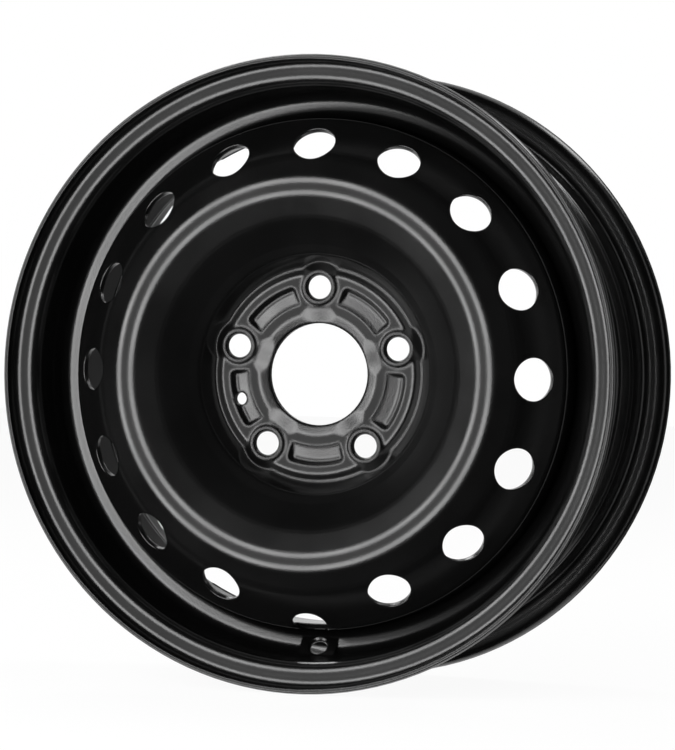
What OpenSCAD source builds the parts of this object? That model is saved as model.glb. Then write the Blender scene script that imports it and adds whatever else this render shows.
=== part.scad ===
// Pressed steel road wheel: a rolled rim, a pressed disc and the weld runs that join them.
// The axle lies along Y with the outboard face towards -Y, and the origin is midway between the flanges.

/* [Rim] */
// Bead seat diameter
seat_d = 380.2; // [355:0.1:460]
// Width between the two flange faces
rim_w = 152.4; // [127:0.1:203.2]
// Thickness of the rolled strip
rim_t = 2.4; // [1.8:0.1:3]
// Height of a flange above its bead seat
flange_h = 17.3; // [15.5:0.1:20]
// Radius of the flange curl, on the tyre side
curl_r = 9.5; // [8:0.1:11]
// How far the trimmed lip stands past the crest of the curl
lip_reach = 4.5; // [3:0.1:5]
// Rounding of the two corners of the trimmed lip
lip_r = 0.5; // [0.2:0.1:0.6]
// Radius between flange wall and bead seat, on the tyre side
root_r = 6.5; // [4:0.1:7]
// Taper of the bead seats in degrees
seat_taper = 5; // [3:0.5:7]
// Width of the outboard bead seat, up to its hump
seat_w_out = 18.3; // [15:0.1:22]
// Width of the inboard bead seat, up to its hump
seat_w_in = 22; // [14:0.1:25]
// Width of a safety hump
hump_w = 7; // [6:0.1:9]
// Height of a safety hump
hump_h = 1.2; // [0.6:0.1:1.6]
// Radius of the bends at a safety hump
hump_r = 4; // [3.2:0.1:5]
// Width of the land between the outboard hump and the wall of the well
land_w = 16.2; // [8:0.1:20]
// Radius of the bend between the land and the wall of the well, on the tyre side
land_r = 10.4; // [6:0.1:14]
// Inner diameter of the drop well
well_d = 336; // [320:0.1:345]
// Width of the floor of the drop well
well_w = 31; // [26:0.1:40]
// Radius of the bends at the floor of the well
well_r = 8; // [5:0.1:10]
// Slope of the outboard wall of the well, in degrees from the wheel plane
slope_a = 14; // [10:0.5:30]
// Slope from the well up to the ledge, in degrees from the wheel plane
rise_a = 45; // [35:0.5:55]
// Diameter of the ledge between well and inboard hump
ledge_d = 375; // [365:0.1:378]
// Radius of the bend at the edge of the ledge
ledge_r = 12; // [6:0.1:14]

/* [Disc] */
// Thickness of the disc sheet
disc_t = 3.8; // [3:0.1:4.5]
// Offset of the hub face outboard of the wheel's middle plane
hub_offset = 47; // [38:0.1:52]
// Diameter of the crown ring
crown_d = 244.8; // [235:0.1:255]
// How far the crown stands outboard of the flange crests
crown_reach = 3; // [0:0.1:4]
// Radius over the top of the crown ring
crown_r = 15.4; // [10:0.1:20]
// Slope of the flanks of the crown in degrees from the wheel plane
crown_a = 28; // [22:0.5:32]
// Width from the top of the crown down to the brow of the bowl
brow_w = 21; // [18:0.1:24]
// Radius of the bend at the brow of the bowl
brow_r = 40; // [20:1:45]
// Width from the top of the crown out to the vent cone
cone_w = 20.6; // [18:0.1:22]
// Slope of the vent cone in degrees from the wheel plane
cone_a = 44.3; // [40:0.1:47]
// Radius of the bend between crown and vent cone
cone_r = 30; // [15:1:35]
// Radius of the bend between vent cone and skirt
skirt_r = 7; // [5:0.1:9]
// Length of the skirt on the floor of the well, up to its inner edge
skirt_l = 12; // [8:0.1:18]

/* [Vents] */
// Number of vent holes
vent_n = 16; // [10:1:18]
// Diameter of a vent hole
vent_d = 27.6; // [18:0.1:30]
// Diameter of the circle of vent hole centres
vent_circle = 301; // [292:0.1:304]
// Flare of a pierced hole towards the inboard side, in degrees from its axis
vent_flare = 12; // [0:0.5:15]
// Diameter of the clearance hole in front of the valve, which takes the place of a vent hole
valve_gap_d = 23.6; // [16:0.1:28]
// Diameter of the circle on which the clearance hole lies
valve_gap_circle = 329.5; // [316:0.1:332]

/* [Hub] */
// Diameter of the centre bore
bore_d = 67.1; // [56:0.1:72]
// Diameter of the bolt circle
bolt_circle = 114.3; // [108:0.1:120]
// Number of bolt holes
bolt_n = 5; // [4:1:5]
// Diameter of a bolt hole
bolt_d = 15.4; // [12:0.1:16]
// Outer diameter of the conical nut seats
nut_seat_d = 18.8; // [17:0.1:19]
// Included angle of the conical nut seats in degrees
nut_seat_a = 60; // [60:1:90]
// Diameter of the flat top of a nut boss
boss_d = 20.6; // [20:0.1:26]
// How far a nut boss stands proud of the hub plateau
boss_rise = 1.9; // [0.5:0.1:2.5]
// Slope of the flank of a nut boss in degrees from its axis
boss_a = 52; // [25:0.5:60]
// Height of the hub plateau above the contact pads
plateau_h = 3.6; // [2.5:0.1:4.2]
// Width of the plateau outside the bolt circle
plateau_w = 8.6; // [7:0.1:10]
// Width from the plateau's edge down to the fold of the bowl
apron_w = 5; // [4:0.1:7]
// Width of the funnel lip round the bore
lip_w = 7; // [5:0.1:9]
// Drop of the funnel lip from the plateau to the bore
lip_drop = 2.8; // [1.5:0.1:3]
// Radius of the bend between funnel lip and plateau
funnel_r = 7; // [5:0.1:9]
// Radius of the groove across the funnel lip at each bolt hole
groove_r = 45; // [10:0.1:60]
// Radius of the bend at the outer edge of the plateau
plateau_r = 5; // [4.8:0.1:6]
// Radius inside the fold of the bowl
fold_r = 1.3; // [0.8:0.1:2]
// Height of the steep wall above the fold of the bowl
wall_h = 12.8; // [10:0.1:15]
// Width of the steep wall above the fold of the bowl
wall_w = 7.8; // [6:0.1:10]
// Radius of the bend between the steep wall and the shoulder
wall_r = 8; // [5:0.1:10]
// Height of the shoulder above the steep wall
shoulder_h = 4.2; // [3:0.1:6]
// Width of the shoulder above the steep wall
shoulder_w = 6.5; // [5:0.1:8]
// Radius of the bend between the shoulder and the bowl
shoulder_r = 15; // [8:0.5:20]
// Radius of the socket pocket pressed into the bowl at each bolt hole
pocket_r = 22; // [20:0.1:24]
// Reach of a socket pocket past the fold of the bowl
pocket_reach = 3.3; // [2:0.1:4]
// Slope of the wall of a socket pocket in degrees from its axis
pocket_a = 18; // [10:0.5:22]

/* [Contact pads] */
// Inner edge of a pad's recess, measured inwards from the bolt circle
pad_in = 9.6; // [8:0.1:11]
// Outer edge of a pad's recess, measured outwards from the bolt circle
pad_out = 2.9; // [2:0.1:4]
// Half the angle that a pad spans, in degrees
pad_half_a = 16; // [12:0.5:18]
// Depth of the sharp step at a pad's inner edge
pad_step = 1; // [0.5:0.1:1.5]
// Width of the flat at the bottom of a pad
pad_flat = 2; // [1:0.1:3]
// Width of the outer wall of a pad's recess
pad_wall = 2.4; // [1.5:0.1:3]
// Width of the gentle foot and of the broken edge of that wall
pad_edge = 0.8; // [0.3:0.1:1]
// Rise of the foot and of the broken edge in degrees from the wheel plane
pad_edge_a = 22; // [15:0.5:30]
// Diameter of the circle on which the locating hole lies
locator_circle = 112; // [108:0.1:114]
// Diameter of the locating hole in one pad
locator_d = 8; // [5:0.1:9]
// Turn of the locating hole from the first bolt hole, in degrees
locator_a = 108; // [100:1:116]

/* [Valve] */
// Diameter of the valve hole
valve_d = 11.5; // [8.3:0.1:15.7]
// Width of the broken edge round the valve hole, on the air side
valve_edge = 1.4; // [0.5:0.1:2]
// Width of the flattened pad round the valve hole
valve_pad_w = 25; // [20:0.1:30]
// Slope of the flattened pad in degrees from the wheel plane
valve_pad_a = 42; // [35:0.5:55]
// How far the face of the flattened pad stands off the corner between land and wall
valve_pad_h = 8; // [6:0.1:9]
// Thickness of the sheet at the flattened pad
valve_pad_t = 3; // [2.5:0.1:4]

/* [Welds] */
// Number of weld runs
weld_n = 8; // [4:1:12]
// Length of a weld run along the skirt
weld_l = 42; // [20:1:60]
// Leg of the weld fillet
weld_leg = 4.2; // [3:0.1:5]
// Step down from a run to its rounded end
weld_end_step = 0.2; // [0.1:0.1:0.5]

/* [Hidden] */
// Steps of the bends in degrees, and facets of the small rounds
bend_step = 6;
$fn = 96;
// Extra length of every cutter
over = 1;
black = [0.09, 0.09, 0.095];

seat_rad = seat_d / 2;
face_y = rim_w / 2;
crest_y = face_y + curl_r;
curl_rad = seat_rad + flange_h - curl_r;
well_rad = well_d / 2;
well_outer = well_rad + rim_t;
ledge_rad = ledge_d / 2;
foot_out = seat_rad - seat_w_out * tan(seat_taper);
foot_in = seat_rad - seat_w_in * tan(seat_taper);
land_y = -face_y + seat_w_out + hump_w;
land_rad = foot_out - land_w * tan(seat_taper);
slope_y = land_y + land_w;
well_y = slope_y + abs(land_rad - well_outer) * tan(slope_a);
rise_y = well_y + well_w;
ledge_y = rise_y + abs(ledge_rad - well_outer) * tan(rise_a);

bolt_rad = bolt_circle / 2;
pad_y = -hub_offset - disc_t;
plateau_y = pad_y - plateau_h;
boss_y = plateau_y - boss_rise;
lip_rad = bore_d / 2 + lip_w;
fold_rad = bolt_rad + plateau_w + apron_w;
wall_rad = fold_rad + wall_w;
shoulder_rad = wall_rad + shoulder_w;
crown_rad = crown_d / 2;
crown_y = -crest_y - crown_reach + crown_r - crown_r / cos(crown_a);
brow_y = crown_y + brow_w * tan(crown_a);
cone_rad = crown_rad + cone_w;
cone_y = crown_y + cone_w * tan(crown_a);
skirt_y = cone_y + (well_rad - cone_rad) * tan(cone_a);
edge_y = well_y + skirt_l;
// Axial place on the vent cone at a diameter
function on_cone(d) = cone_y + (d / 2 - cone_rad) * tan(cone_a);

function unit(v) = v / norm(v);
function left(v) = [-v[1], v[0]];
function polar(r, a) = r * [cos(a), sin(a)];
function flat(p) = [p[0], p[1]];
function turned(v, a) = [v[0] * cos(a) - v[1] * sin(a), v[0] * sin(a) + v[1] * cos(a)];

// A bend at vertex b between a and c: pairs of a point on the bend and the left-hand normal there
function bend(a, b, c, r) =
    let (
        u = unit(flat(b) - flat(a)),
        w = unit(flat(c) - flat(b)),
        turn = atan2(cross(u, w), u * w),
        side = sign(turn),
        start = flat(b) - u * r * tan(abs(turn) / 2),
        centre = start + left(u) * r * side,
        steps = max(1, ceil(abs(turn) / bend_step))
    )
    [for (k = [0 : steps]) let (n = turned(left(u), turn * k / steps)) [centre - n * r * side, n]];

// Length that a bend at vertex b takes up on each of its two sides
function bend_length(a, b, c) =
    let (u = unit(flat(b) - flat(a)), w = unit(flat(c) - flat(b)))
    b[2] * tan(abs(atan2(cross(u, w), u * w)) / 2);

// All bends of a path of vertices [radius, axial place, bend radius], ends left out.
// A bend gets tighter where a side is too short for it and its neighbour.
function bends(path) =
    let (
        last = len(path) - 1,
        taken = [
            for (i = [0 : last]) i == 0 || i == last ? 0 : bend_length(path[i - 1], path[i], path[i + 1])
        ],
        room = [
            for (i = [0 : last - 1]) norm(flat(path[i + 1]) - flat(path[i])) / (taken[i] + taken[i + 1])
        ]
    )
    [for (i = [1 : last - 1])
        each bend(path[i - 1], path[i], path[i + 1], path[i][2] * min(1, room[i - 1], room[i]))];

// A curl round a centre from one angle to another, with normals that point at the centre
function curl(centre, r, from, to) =
    let (steps = ceil((to - from) / bend_step))
    [for (k = [0 : steps]) let (a = from + (to - from) * k / steps) [centre + polar(r, a), -polar(1, a)]];

// One side of a sheet: the sampled side itself, or the side that lies a thickness to the left of it
function side(samples, t) = [for (s = samples) s[0] + s[1] * t];

function reversed(list) = [for (i = [len(list) - 1 : -1 : 0]) list[i]];

// The section of a sheet between two depths to the left of its sampled side
module section(samples, from, to) {
    polygon(concat(side(samples, from), reversed(side(samples, to))));
}

// A corner of an outline rounded between its two neighbours
function rounded(a, b, c, r) = side(bend(a, b, c, r), 0);

// Turns a profile of [radius, axial place] about the axle
module about_axle(angle = 360) {
    rotate([-90, 0, 0]) rotate_extrude(angle = angle, $fn = 180) children();
}

// Places a part drawn with X outwards and Z inboard at an angle from the top of the wheel
module at_clock(angle, radius, y) {
    rotate([-90, 0, 0]) rotate([0, 0, angle - 90]) translate([radius, 0, y]) children();
}

// The tyre side of the strip between the two flange walls
rim_path = [
    [curl_rad, -face_y, 0],
    [seat_rad, -face_y, root_r],
    [foot_out, land_y - hump_w, hump_r],
    [foot_out + hump_h, land_y - hump_w / 2, hump_r],
    [foot_out, land_y, hump_r],
    [land_rad, slope_y, land_r],
    [well_outer, well_y, well_r],
    [well_outer, rise_y, well_r],
    [ledge_rad, ledge_y, ledge_r],
    [ledge_rad, face_y - seat_w_in - hump_w, hump_r],
    [foot_in + hump_h, face_y - seat_w_in - hump_w / 2, hump_r],
    [foot_in, face_y - seat_w_in, hump_r],
    [seat_rad, face_y, root_r],
    [curl_rad, face_y, 0]
];

// Angle past the crest at which a curl of radius r meets the trimmed lip
function lip_angle(r) = asin(lip_reach / r);

// The curls stop short of the lip by two bend steps, to leave room for its rounded corners
function strip_side(r) =
    let (stop = lip_angle(r) - 2 * bend_step)
    concat(
        [for (a = curl([curl_rad, -crest_y], curl_r, -stop, 90)) a],
        bends(rim_path),
        [for (a = curl([curl_rad, crest_y], curl_r, -90, stop)) a]
    );

function lip_corner(r, s) = [curl_rad + r * cos(lip_angle(r)), s * (crest_y + lip_reach)];

module rim_profile() {
    inner_r = curl_r - rim_t;
    tyre = side(strip_side(curl_r), 0);
    air = reversed(side(strip_side(inner_r), rim_t));
    last = len(tyre) - 1;
    last_air = len(air) - 1;
    polygon(concat(
        tyre,
        rounded(tyre[last], lip_corner(curl_r, 1), lip_corner(inner_r, 1), lip_r),
        rounded(lip_corner(curl_r, 1), lip_corner(inner_r, 1), air[0], lip_r),
        air,
        rounded(air[last_air], lip_corner(inner_r, -1), lip_corner(curl_r, -1), lip_r),
        rounded(lip_corner(inner_r, -1), lip_corner(curl_r, -1), tyre[0], lip_r)
    ));
}

// The flattened pad at the valve bridges the corner between land and wall. Its section is a triangle in
// front of that corner, with its legs in the middle of the sheet.
land_corner = [land_rad, slope_y];
land_dir = unit(land_corner - [foot_out, land_y]);
wall_dir = unit([well_outer, well_y] - land_corner);
valve_dir = [-sin(valve_pad_a), -cos(valve_pad_a)];
valve_corner = land_corner
    + (left(land_dir) + left(wall_dir)) * rim_t / 2 / (1 + left(land_dir) * left(wall_dir));
valve_depth = valve_pad_h - (valve_corner - land_corner) * valve_dir;
valve_top = valve_corner + land_dir * valve_depth / (land_dir * valve_dir);
valve_foot = valve_corner + wall_dir * valve_depth / (wall_dir * valve_dir);
valve_mid = (valve_top + valve_foot) / 2;

module valve_pad() {
    at_clock(180, 0, 0) rotate([90, 0, 0]) linear_extrude(valve_pad_w, center = true)
        polygon([valve_corner, valve_top, valve_foot]);
}

// Places a part drawn on the face of the flattened pad, with Z through the sheet
module at_valve() {
    at_clock(180, valve_mid[0], valve_mid[1]) rotate([0, valve_pad_a, 0]) children();
}

// The flat on the tyre side, where the foot of the valve seats
module valve_seat() {
    w = valve_pad_w - 2 * rim_t;
    translate([-1.5 * valve_pad_h, -w / 2, valve_pad_t]) cube([3 * valve_pad_h, w, valve_pad_h]);
}

module valve_hole() {
    edge_d = valve_d + 2 * valve_edge;
    cylinder(d = valve_d, h = 2 * valve_pad_h, center = true);
    cylinder(d1 = edge_d, d2 = valve_d, h = valve_edge);
    translate([0, 0, -over]) cylinder(d = edge_d, h = over);
}

module rim() {
    color(black) difference() {
        union() {
            about_axle() rim_profile();
            valve_pad();
        }
        at_valve() valve_seat();
        at_valve() valve_hole();
    }
}

// The outboard face of the disc from inside the bore to the edge of the skirt
disc_path = [
    [lip_rad - 2 * lip_w, plateau_y + 2 * lip_drop, 0],
    [lip_rad, plateau_y, funnel_r],
    [bolt_rad + plateau_w, plateau_y, plateau_r],
    [fold_rad, pad_y, fold_r],
    [wall_rad, pad_y - wall_h, wall_r],
    [shoulder_rad, pad_y - wall_h - shoulder_h, shoulder_r],
    [crown_rad - brow_w, brow_y, brow_r],
    [crown_rad, crown_y, crown_r],
    [cone_rad, cone_y, cone_r],
    [well_rad, skirt_y, skirt_r],
    [well_rad, edge_y, 0]
];

module disc_profile() {
    last = len(disc_path) - 1;
    funnel = unit(flat(disc_path[1]) - flat(disc_path[0]));
    samples = concat(
        [[flat(disc_path[0]), left(funnel)]],
        bends(disc_path),
        [[flat(disc_path[last]), [-1, 0]]]
    );
    section(samples, 0, disc_t);
}

// A socket pocket as a cone that opens outboard, a margin wider than the pocket itself
module pocket(margin = 0) {
    r = pocket_r + margin;
    translate([-pocket_r + pocket_reach, 0, -2 * wall_h])
        cylinder(r1 = r + (2 * wall_h + margin) * tan(pocket_a), r2 = r, h = 2 * wall_h + margin);
}

// The back of the socket pockets, which keeps the sheet's thickness behind them
module pocket_backs() {
    wall_path = [for (i = [2 : 6]) disc_path[i]];
    intersection() {
        at_bolts(fold_rad, pad_y) pocket(disc_t);
        about_axle() section(bends(wall_path), disc_t / 2, disc_t + pocket_reach);
    }
}

// The ring outside the fold, where the socket pockets are pressed into the wall
module pocket_cuts() {
    intersection() {
        at_bolts(fold_rad, pad_y) pocket();
        about_axle() translate([fold_rad, -crest_y]) square([wall_w + shoulder_w, crest_y]);
    }
}

boss_h = pad_y - boss_y;

module nut_boss() {
    cylinder(d1 = boss_d, d2 = boss_d + 2 * boss_h * tan(boss_a), h = boss_h);
}

// The hollow under a nut boss, one sheet thickness behind its face
module boss_hollow() {
    depth = boss_h + over;
    wall = disc_t * (1 - sin(boss_a)) / cos(boss_a);
    top_d = boss_d - 2 * wall;
    translate([0, 0, disc_t]) cylinder(d1 = top_d, d2 = top_d + 2 * depth * tan(boss_a), h = depth);
}

module nut_hole() {
    seat_h = (nut_seat_d - bolt_d) / 2 / tan(nut_seat_a / 2);
    translate([0, 0, -over]) cylinder(d = bolt_d, h = boss_h + disc_t + 2 * over);
    cylinder(d1 = nut_seat_d, d2 = bolt_d, h = seat_h);
    translate([0, 0, -over]) cylinder(d = nut_seat_d, h = over);
}

// A shallow groove across the funnel lip in front of each nut boss
module lip_groove() {
    tilt = atan(lip_drop / lip_w) / 2;
    reach = bolt_rad - boss_d / 2 - boss_rise * tan(boss_a) - bore_d / 2;
    translate([bore_d / 2, 0, plateau_y + lip_drop]) rotate([0, 90 + tilt, 0]) translate([groove_r, 0, -over])
        cylinder(r = groove_r, h = reach + over);
}

recess_in = bolt_rad - pad_in;
recess_out = bolt_rad + pad_out;
trough_out = recess_out - pad_wall;
trough_in = trough_out - pad_flat;

// The room of a pad's recess between sloping walls: the outer wall, both ends and the corners between.
// They lie half a width from the middle of the trough at one axial place, and spread towards the outboard side.
module pad_room(half, place, spread, low, high) {
    mid = (trough_in + trough_out) / 2;
    foot = half - (low - place) * spread;
    top = half + (place - high) * spread;
    about_pad() polygon([
        [recess_in - over, low], [mid + foot, low], [mid + top, high], [recess_in - over, high]
    ]);
    for (end = [-1, 1]) rotate([0, 0, end * pad_half_a]) {
        translate([mid, 0, high]) cylinder(r1 = top, r2 = foot, h = low - high);
        translate([recess_in - over, 0, 0]) rotate([90, 0, 90]) linear_extrude(mid - recess_in + over)
            polygon([[0, low], [end * foot, low], [end * top, high], [0, high]]);
    }
}

// The walls of a pad: steep, with a gentle foot and a broken edge
module pad_walls() {
    half = pad_flat / 2;
    gentle = 1 / tan(pad_edge_a);
    high = plateau_y - over;
    edge_half = half + pad_wall + pad_edge;
    intersection() {
        pad_room(half, pad_y, pad_wall / plateau_h, pad_y + over, high);
        pad_room(half - pad_edge, pad_y, gentle, pad_y + pad_edge / 20, high);
    }
    pad_room(edge_half, plateau_y, gentle, plateau_y + edge_half / gentle / 2, high);
}

// A recess between two nut bosses: a sharp step at its inner edge, a ramp, a narrow flat and steep walls
module pad_recess() {
    intersection() {
        pad_walls();
        about_pad(pad_half_a) polygon([
            [recess_in, plateau_y - 2 * over],
            [recess_in, plateau_y + pad_step],
            [trough_in, pad_y],
            [recess_out + 3 * pad_wall, pad_y],
            [recess_out + 3 * pad_wall, plateau_y - 2 * over]
        ]);
    }
}

// The back of a pad, which stands out to the hub face
module pad_back() {
    about_pad(atan(disc_t / bolt_rad)) polygon([
        [recess_in - disc_t / 2, plateau_y + disc_t / 2],
        [recess_in + disc_t, -hub_offset],
        [recess_out + disc_t / 2, -hub_offset],
        [recess_out + disc_t, plateau_y + disc_t / 2]
    ]);
}

// Sweeps a pad's section either side of the X axis, over its angle and a margin
module about_pad(margin = 0) {
    sweep = pad_half_a + margin;
    rotate([0, 0, -sweep]) rotate_extrude(angle = 2 * sweep, $fn = 180) children();
}

// Repeats a part at every bolt hole, or a share of a step past it
module at_bolts(radius, y, share = 0) {
    union() {
        for (i = [0 : bolt_n - 1]) at_clock((i + share) * 360 / bolt_n, radius, y) children();
    }
}

// A hole pierced square to the vent cone, a little wider on the inboard side
module pierced_hole(angle, d, circle) {
    reach = 2 * disc_t;
    spread = 2 * reach * tan(vent_flare);
    at_clock(angle, circle / 2, on_cone(circle)) rotate([0, -cone_a, 0]) translate([0, 0, -reach])
        cylinder(d1 = d - spread, d2 = d + spread, h = 2 * reach);
}

module vents() {
    step = 360 / vent_n;
    for (i = [0 : vent_n - 1]) if (abs(i * step - 180) >= step / 2) pierced_hole(i * step, vent_d, vent_circle);
    pierced_hole(180, valve_gap_d, valve_gap_circle);
}

module disc() {
    color(black) difference() {
        union() {
            difference() {
                union() {
                    about_axle() disc_profile();
                    pocket_backs();
                    at_bolts(0, 0, 0.5) pad_back();
                }
                pocket_cuts();
            }
            at_bolts(bolt_rad, boss_y) nut_boss();
        }
        at_bolts(bolt_rad, boss_y) boss_hollow();
        at_bolts(bolt_rad, boss_y) nut_hole();
        at_bolts(0, 0) lip_groove();
        at_bolts(0, 0, 0.5) pad_recess();
        vents();
        at_clock(-locator_a, locator_circle / 2, pad_y)
            cylinder(d = locator_d, h = 4 * disc_t, center = true);
        rotate([90, 0, 0]) cylinder(d = bore_d, h = 2 * crest_y, center = true);
    }
}

// A run of weld in the corner between the edge of the skirt and the floor of the well, with round ends
module weld_bead() {
    half_a = weld_l / well_rad * 90 / PI;
    rotate([0, 0, -half_a]) rotate_extrude(angle = 2 * half_a, $fn = 180) intersection() {
        translate([well_rad, 0]) circle(r = weld_leg);
        translate([well_rad - 2 * weld_leg, 0]) square(2 * weld_leg);
    }
    for (end = [-1, 1]) rotate([0, 0, end * half_a]) intersection() {
        translate([well_rad, 0, 0]) sphere(r = weld_leg - weld_end_step);
        rotate_extrude($fn = 180) translate([well_rad - 2 * weld_leg, 0]) square(2 * weld_leg);
    }
}

module weld_beads() {
    color(black) for (i = [0 : weld_n - 1]) at_clock((i + 0.5) * 360 / weld_n, 0, edge_y) weld_bead();
}

rim();
disc();
weld_beads();
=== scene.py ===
"""Pressed steel road wheel in satin black dip coat, on a pale studio floor."""

import math

import bpy
from mathutils import Matrix, Vector


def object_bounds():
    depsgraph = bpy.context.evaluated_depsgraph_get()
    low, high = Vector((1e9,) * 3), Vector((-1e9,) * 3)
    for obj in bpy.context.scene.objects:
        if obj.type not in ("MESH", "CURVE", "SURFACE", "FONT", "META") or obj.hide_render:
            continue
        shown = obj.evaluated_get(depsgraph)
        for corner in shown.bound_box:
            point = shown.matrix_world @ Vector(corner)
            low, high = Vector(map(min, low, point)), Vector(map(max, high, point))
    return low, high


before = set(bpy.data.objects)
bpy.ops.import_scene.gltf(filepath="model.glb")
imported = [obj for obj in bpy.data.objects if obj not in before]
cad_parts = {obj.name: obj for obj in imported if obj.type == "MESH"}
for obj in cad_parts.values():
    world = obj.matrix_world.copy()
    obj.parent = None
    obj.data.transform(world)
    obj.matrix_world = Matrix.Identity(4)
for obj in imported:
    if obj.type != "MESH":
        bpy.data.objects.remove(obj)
cad_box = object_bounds()

scene = bpy.context.scene
scene.view_settings.view_transform = "Standard"

MM = 0.001
CENTRE = Vector((0, 0, 0))
UPWARDS = Vector((0, 0, 1))
SQUARE = ((-1, -1), (1, -1), (1, 1), (-1, 1))


def linear(code):
    """The linear colour of an sRGB hex code."""
    parts = [int(code[i:i + 2], 16) / 255 for i in (1, 3, 5)]
    return [c / 12.92 if c <= 0.04045 else ((c + 0.055) / 1.055) ** 2.4 for c in parts] + [1.0]


def add(tree, kind, settings=None, inputs=None, links=None):
    """Adds a node, sets its properties and sockets, and links other nodes' outputs to its sockets."""
    node = tree.nodes.new("ShaderNode" + kind)
    for key, value in (settings or {}).items():
        setattr(node, key, value)
    for key, value in (inputs or {}).items():
        node.inputs[key].default_value = value
    for key, (source, output) in (links or {}).items():
        tree.links.new(source.outputs[output], node.inputs[key])
    return node


def new_material(name):
    """A material with an empty node tree and its output node."""
    material = bpy.data.materials.new(name)
    material.use_nodes = True
    material.node_tree.nodes.clear()
    return material, material.node_tree, add(material.node_tree, "OutputMaterial")


def aim(thing, place, target, roll=0.0):
    """Puts a lamp or the camera at a place and points it at a target, with its top upwards."""
    back = (place - target).normalized()
    right = UPWARDS.cross(back).normalized()
    up = back.cross(right)
    side = right * math.cos(roll) + up * math.sin(roll)
    thing.matrix_world = Matrix((side, back.cross(side), back)).transposed().to_4x4()
    thing.location = place


def from_front(azimuth, elevation):
    """The direction from the wheel to a point that many degrees right of and above its outboard side."""
    a, e = math.radians(azimuth), math.radians(elevation)
    return Vector((math.sin(a) * math.cos(e), -math.cos(a) * math.cos(e), math.sin(e)))


# Camera: a long lens, a little right of the axle and level with it
CAMERA_AZIMUTH = 16.801
CAMERA_ELEVATION = 0.396
CAMERA_ROLL = math.radians(1.283)
CAMERA_DISTANCE = 2338.3 * MM
CAMERA_LENS = 167.24
AIM_RIGHT, AIM_UP = -2.445 * MM, -0.596 * MM

camera = bpy.data.objects.new("camera", bpy.data.cameras.new("camera"))
scene.collection.objects.link(camera)
scene.camera = camera
camera.data.lens = CAMERA_LENS
to_camera = from_front(CAMERA_AZIMUTH, CAMERA_ELEVATION)
camera_right = UPWARDS.cross(to_camera).normalized()
aimed_at = camera_right * AIM_RIGHT + to_camera.cross(camera_right) * AIM_UP
aim(camera, aimed_at + to_camera * CAMERA_DISTANCE, aimed_at, CAMERA_ROLL)


# Satin black dip coat: epoxy paint laid on the steel in a bath and baked. It is nearly black and its
# gloss is a little spread, so bends show as soft bright lines. The film flows round every edge, more in
# the deep pressings of the hub, and a faint orange peel makes the highlights grainy.
COAT = "#050505"
COAT_PALER = 1.25
COAT_IOR = 1.50
COAT_ROUGHNESS = 0.19
WELD_ROUGHNESS = 0.24
GLOSS_LESS, GLOSS_MORE = 0.02, 0.03
FILM_EDGE = 1.5 * MM
HUB_EDGE = 3.4 * MM
HUB_FROM, HUB_TO = 68 * MM, 78 * MM
EDGE_SAMPLES = 8
PEEL_SIZE = 0.9 * MM
PEEL_HEIGHT = 0.055 * MM
CLOUD_SIZE = 45 * MM
CLOUD_LOW, CLOUD_HIGH = 0.3, 0.7


def dip_coat(name, roughness):
    """Dip coat whose gloss and tone drift a little over the wheel."""
    material, tree, output = new_material(name)
    place = add(tree, "TexCoord")
    peel = add(tree, "TexNoise", inputs={"Scale": 1 / PEEL_SIZE, "Detail": 2.0, "Roughness": 0.55},
               links={"Vector": (place, "Object")})
    cloud = add(tree, "TexNoise", inputs={"Scale": 1 / CLOUD_SIZE, "Detail": 3.0, "Roughness": 0.5},
                links={"Vector": (place, "Object")})
    gloss = add(tree, "MapRange", inputs={"From Min": CLOUD_LOW, "From Max": CLOUD_HIGH,
                                          "To Min": roughness - GLOSS_LESS, "To Max": roughness + GLOSS_MORE},
                links={"Value": (cloud, "Fac")})
    tone = add(tree, "ValToRGB", links={"Fac": (cloud, "Fac")})
    dark = linear(COAT)
    pale = [c * COAT_PALER for c in dark[:3]] + [1.0]
    for stop, position, colour in zip(tone.color_ramp.elements, (CLOUD_LOW, CLOUD_HIGH), (dark, pale)):
        stop.position, stop.color = position, colour
    # The distance from the axle decides how far the film rounds an edge
    flat = add(tree, "VectorMath", {"operation": "MULTIPLY"}, {1: (1, 0, 1)}, {0: (place, "Object")})
    reach = add(tree, "VectorMath", {"operation": "LENGTH"}, links={0: (flat, "Vector")})
    edge = add(tree, "MapRange", inputs={"From Min": HUB_FROM, "From Max": HUB_TO,
                                         "To Min": HUB_EDGE, "To Max": FILM_EDGE},
               links={"Value": (reach, "Value")})
    film = add(tree, "Bevel", {"samples": EDGE_SAMPLES}, links={"Radius": (edge, "Result")})
    bump = add(tree, "Bump", inputs={"Strength": 1.0, "Distance": PEEL_HEIGHT},
               links={"Height": (peel, "Fac"), "Normal": (film, "Normal")})
    coat = add(tree, "BsdfPrincipled", inputs={"IOR": COAT_IOR},
               links={"Base Color": (tone, "Color"), "Roughness": (gloss, "Result"),
                      "Normal": (bump, "Normal")})
    tree.links.new(coat.outputs["BSDF"], output.inputs["Surface"])
    return material


COATS = {
    "rim": dip_coat("satin_black_dip_coat_rim", COAT_ROUGHNESS),
    "disc": dip_coat("satin_black_dip_coat_disc", COAT_ROUGHNESS),
    "weld_beads": dip_coat("satin_black_dip_coat_weld", WELD_ROUGHNESS),
}
for node_name, coat in COATS.items():
    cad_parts[node_name].data.materials.clear()
    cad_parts[node_name].data.materials.append(coat)


# Studio: a pale floor and a white surround, a ring of soft boxes in front of the wheel, two boxes behind it,
# and a black tent and flags, which the gloss sees beside the boxes
def panel(name, corners, faces=((0, 1, 2, 3),)):
    """A stage piece with the given corners, one flat panel if no faces are named."""
    mesh = bpy.data.meshes.new(name)
    mesh.from_pydata(corners, [], faces)
    piece = bpy.data.objects.new(name, mesh)
    scene.collection.objects.link(piece)
    return piece


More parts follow.
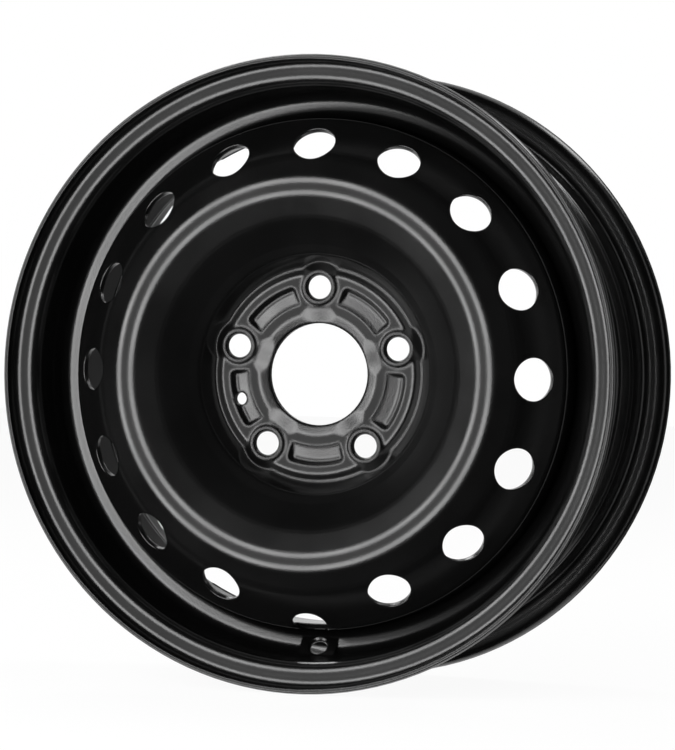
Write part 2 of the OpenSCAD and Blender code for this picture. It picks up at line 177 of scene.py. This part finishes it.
def seen_rays(tree):
    """One for the rays on which the background is seen: straight, mirrored or through glass."""
    ray = add(tree, "LightPath")
    seen = add(tree, "Math", {"operation": "MAXIMUM"},
               links={0: (ray, "Is Camera Ray"), 1: (ray, "Is Glossy Ray")})
    return add(tree, "Math", {"operation": "MAXIMUM"},
               links={0: (seen, 0), 1: (ray, "Is Transmission Ray")})


WHITE = (1, 1, 1, 1)
FLOOR_PAINT = "#f4f4f4"
FLOOR_HALF = 9.0
FLOOR_GLOW = 0.94
floor = panel("floor", [(sx * FLOOR_HALF, sy * FLOOR_HALF, cad_box[0].z) for sx, sy in SQUARE])
# The boxes go on below the floor, so the floor leaves their light alone and catches the shadow
floor.visible_glossy = False
floor.visible_shadow = False

white_floor, tree, output = new_material("matt_white_floor")
matt = add(tree, "BsdfDiffuse", inputs={"Color": linear(FLOOR_PAINT)})
glow = add(tree, "Emission", inputs={"Color": WHITE, "Strength": 1.0})
share = add(tree, "MapRange", inputs={"To Min": 0.0, "To Max": FLOOR_GLOW},
            links={"Value": (seen_rays(tree), 0)})
both = add(tree, "MixShader", links={0: (share, "Result"), 1: (matt, "BSDF"), 2: (glow, "Emission")})
tree.links.new(both.outputs["Shader"], output.inputs["Surface"])
floor.data.materials.append(white_floor)

WORLD_DIFFUSE = 0.3
world = bpy.data.worlds.new("white_surround")
scene.world = world
world.use_nodes = True
world.node_tree.nodes.clear()
tree = world.node_tree
level = add(tree, "MapRange", inputs={"To Min": WORLD_DIFFUSE, "To Max": 1.0},
            links={"Value": (seen_rays(tree), 0)})
surround = add(tree, "Background", inputs={"Color": WHITE}, links={"Strength": (level, "Result")})
add(tree, "OutputWorld", links={"Surface": (surround, "Background")})

RING_AXIS = from_front(-20.0, 0.0)
RING_BOXES = 12
BOX_DISTANCE = 2.6
RING_ANGLE = 30
BOX_SIZE = 1.1
BOX_WATTS = 13.0

ring_right = UPWARDS.cross(RING_AXIS).normalized()
ring_up = RING_AXIS.cross(ring_right)


def soft_box(name, away, size, watts):
    """A round soft box in the given direction that faces the wheel."""
    lamp = bpy.data.objects.new(name, bpy.data.lights.new(name, "AREA"))
    scene.collection.objects.link(lamp)
    lamp.data.shape = "DISK"
    lamp.data.size = size
    lamp.data.energy = watts
    aim(lamp, away * BOX_DISTANCE, CENTRE)


def around_ring(angle, turn):
    """The direction that many degrees off the ring's axis, at a turn round it, clockwise from the top."""
    a, t = math.radians(angle), math.radians(turn)
    out = ring_right * math.sin(t) + ring_up * math.cos(t)
    return RING_AXIS * math.cos(a) + out * math.sin(a)


def gloss_only(name, corners, faces, finish):
    """A piece of cloth that only the gloss of the wheel sees."""
    cloth = panel(name, corners, faces)
    cloth.visible_camera = cloth.visible_diffuse = cloth.visible_shadow = False
    cloth.visible_transmission = cloth.visible_volume_scatter = False
    cloth.data.materials.append(finish)


def matt_cloth(name, colour):
    """Matt cloth, which gives the gloss something even to mirror."""
    material, tree, output = new_material(name)
    matt = add(tree, "BsdfDiffuse", inputs={"Color": linear(colour)})
    tree.links.new(matt.outputs["BSDF"], output.inputs["Surface"])
    return material


for i in range(RING_BOXES):
    soft_box(f"soft_box_{i}", around_ring(RING_ANGLE, 360 * i / RING_BOXES), BOX_SIZE, BOX_WATTS)

# Two soft boxes high up behind the wheel, which only its inboard side sees
BACK_BOXES = {"back_box_right": 132, "back_box_left": 228}
BACK_BOX_ELEVATION, BACK_BOX_SIZE, BACK_BOX_WATTS = 48, 1.3, 22.0
for name, azimuth in BACK_BOXES.items():
    soft_box(name, from_front(azimuth, BACK_BOX_ELEVATION), BACK_BOX_SIZE, BACK_BOX_WATTS)

black_cloth = matt_cloth("matt_black_cloth", "#1c1c1c")
dark_grey_cloth = matt_cloth("matt_dark_grey_cloth", "#4c4c4c")

# The tent: a zone of a sphere round the ring's axis, open in front for the boxes and behind
TENT_FROM, TENT_TO, TENT_BANDS, TENT_SIDES = 40.0, 104.0, 12, 48
TENT_DISTANCE = 2.0
corners = [around_ring(TENT_FROM + (TENT_TO - TENT_FROM) * b / TENT_BANDS, 360 * k / TENT_SIDES)
           * TENT_DISTANCE for b in range(TENT_BANDS + 1) for k in range(TENT_SIDES)]
faces = [(b * TENT_SIDES + k, b * TENT_SIDES + (k + 1) % TENT_SIDES,
          (b + 1) * TENT_SIDES + (k + 1) % TENT_SIDES, (b + 1) * TENT_SIDES + k)
         for b in range(TENT_BANDS) for k in range(TENT_SIDES)]
gloss_only("black_tent", corners, faces, black_cloth)

# Behind the wheel: a dark grey screen; the white strip left beside it makes the streaks on the barrel
BACK_AZIMUTH, BACK_DISTANCE, BACK_HALF_WIDTH, BACK_HALF_HEIGHT = 163, 1.5, 0.72, 1.0
away = from_front(BACK_AZIMUTH, 0)
right = UPWARDS.cross(away).normalized() * BACK_HALF_WIDTH
up = UPWARDS * BACK_HALF_HEIGHT
corners = [away * BACK_DISTANCE + right * sx + up * sy for sx, sy in SQUARE]
gloss_only("dark_back_screen", corners, [(0, 1, 2, 3)], dark_grey_cloth)

# Two black flags close to the right-hand side, which keep the boxes and the strip off the barrel: half a
# ring just in front of the outboard flange, and an upright panel beside the inboard one
FLAG_Y, FLAG_IN, FLAG_OUT, FLAG_STEPS = -0.100, 0.213, 0.70, 24
corners = [Vector((r * math.sin(math.pi * k / FLAG_STEPS), FLAG_Y, r * math.cos(math.pi * k / FLAG_STEPS)))
           for k in range(FLAG_STEPS + 1) for r in (FLAG_IN, FLAG_OUT)]
faces = [(2 * k, 2 * k + 1, 2 * k + 3, 2 * k + 2) for k in range(FLAG_STEPS)]
gloss_only("black_front_flag", corners, faces, black_cloth)
SIDE_X, SIDE_Y, SIDE_HALF_WIDTH, SIDE_HALF_HEIGHT = 0.45, 0.24, 0.14, 0.6
corners = [(SIDE_X, SIDE_Y + sx * SIDE_HALF_WIDTH, sy * SIDE_HALF_HEIGHT) for sx, sy in SQUARE]
gloss_only("black_side_flag", corners, [(0, 1, 2, 3)], black_cloth)
